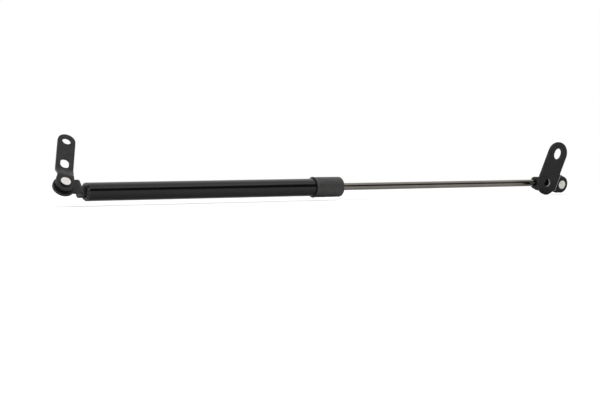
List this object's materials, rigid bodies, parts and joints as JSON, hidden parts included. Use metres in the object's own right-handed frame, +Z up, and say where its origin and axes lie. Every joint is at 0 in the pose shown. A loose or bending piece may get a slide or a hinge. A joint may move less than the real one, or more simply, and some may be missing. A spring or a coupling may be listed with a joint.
{
  "type": "gas strut stay",
  "caption": "Gas spring stay: black pressure tube with a rubber dust sleeve, sliding rod, and a pressed lug with a riveted swivelling mounting bracket at each end.",
  "frame": {"origin": "centre of the round bolt hole in the tube-end bracket, half way through the plate", "axes": "+X along the strut axis from the tube end to the rod end, +Z up, -Y the side the mounting brackets are on, turned 41 and -10 degrees about X at the tube and rod ends"},
  "size_m": [0.656, 0.0708, 0.0728],
  "materials": {
    "tube_paint": "gloss black paint",
    "black_coat": "satin black electrocoat",
    "zinc_steel": "bright zinc",
    "rod_steel": "dark nitrided and polished",
    "spring_steel": "plain hardened steel",
    "sleeve_rubber": "matte moulded rubber",
    "seal_rubber": "matte nitrile rubber",
    "bronze": "sintered bronze",
    "guide_alloy": "turned alloy",
    "polymer": "filled bearing polymer"
  },
  "bodies": {
    "tube": {"pressure_tube": "tube_paint", "end_boss": "black_coat", "weld_bead": "black_coat", "tube_lug": "black_coat", "tube_pivot_bush": "bronze", "dust_sleeve": "sleeve_rubber", "closing_washer": "spring_steel", "rod_guide": "guide_alloy", "guide_bearing": "bronze", "guide_o_ring": "seal_rubber", "rod_seal": "seal_rubber", "seal_support_ring": "polymer"},
    "piston_slider": {"piston_ring": "polymer"},
    "rod": {"piston": "guide_alloy", "piston_disc": "spring_steel", "piston_rivet_ring": "spring_steel", "piston_rod": "rod_steel", "rod_lug": "black_coat", "rod_lug_nut": "black_coat", "rod_pivot_bush": "bronze"},
    "tube_end_bracket": {"tube_bracket": "black_coat", "tube_pivot_rivet": "zinc_steel", "tube_spring_washer": "spring_steel", "tube_rear_washer": "zinc_steel"},
    "rod_end_bracket": {"rod_bracket": "black_coat", "rod_pivot_rivet": "zinc_steel", "rod_spring_washer": "spring_steel", "rod_rear_washer": "zinc_steel"}
  },
  "joints": [
    {"name": "rod_slide", "type": "slide", "parent": "tube", "child": "piston_slider", "axis": [1, 0, 0], "range_m": [-0.25, 0], "stiffness_N_per_m": 300, "springref_m": 0.35},
    {"name": "rod_turn", "type": "hinge", "parent": "piston_slider", "child": "rod", "pos_m": [0.29408, -0.03734, -0.05096], "axis": [1, 0, 0], "continuous": true},
    {"name": "tube_bracket_pivot", "type": "hinge", "parent": "tube", "child": "tube_end_bracket", "pos_m": [-0.02292, -0.04685, -0.04269], "axis": [0, 0.7547, -0.6561], "range_deg": [-150, 8]},
    {"name": "rod_bracket_pivot", "type": "hinge", "parent": "rod", "child": "rod_end_bracket", "pos_m": [0.61108, -0.04975, -0.05315], "axis": [0, 0.9848, 0.1736], "continuous": true}
  ]
}
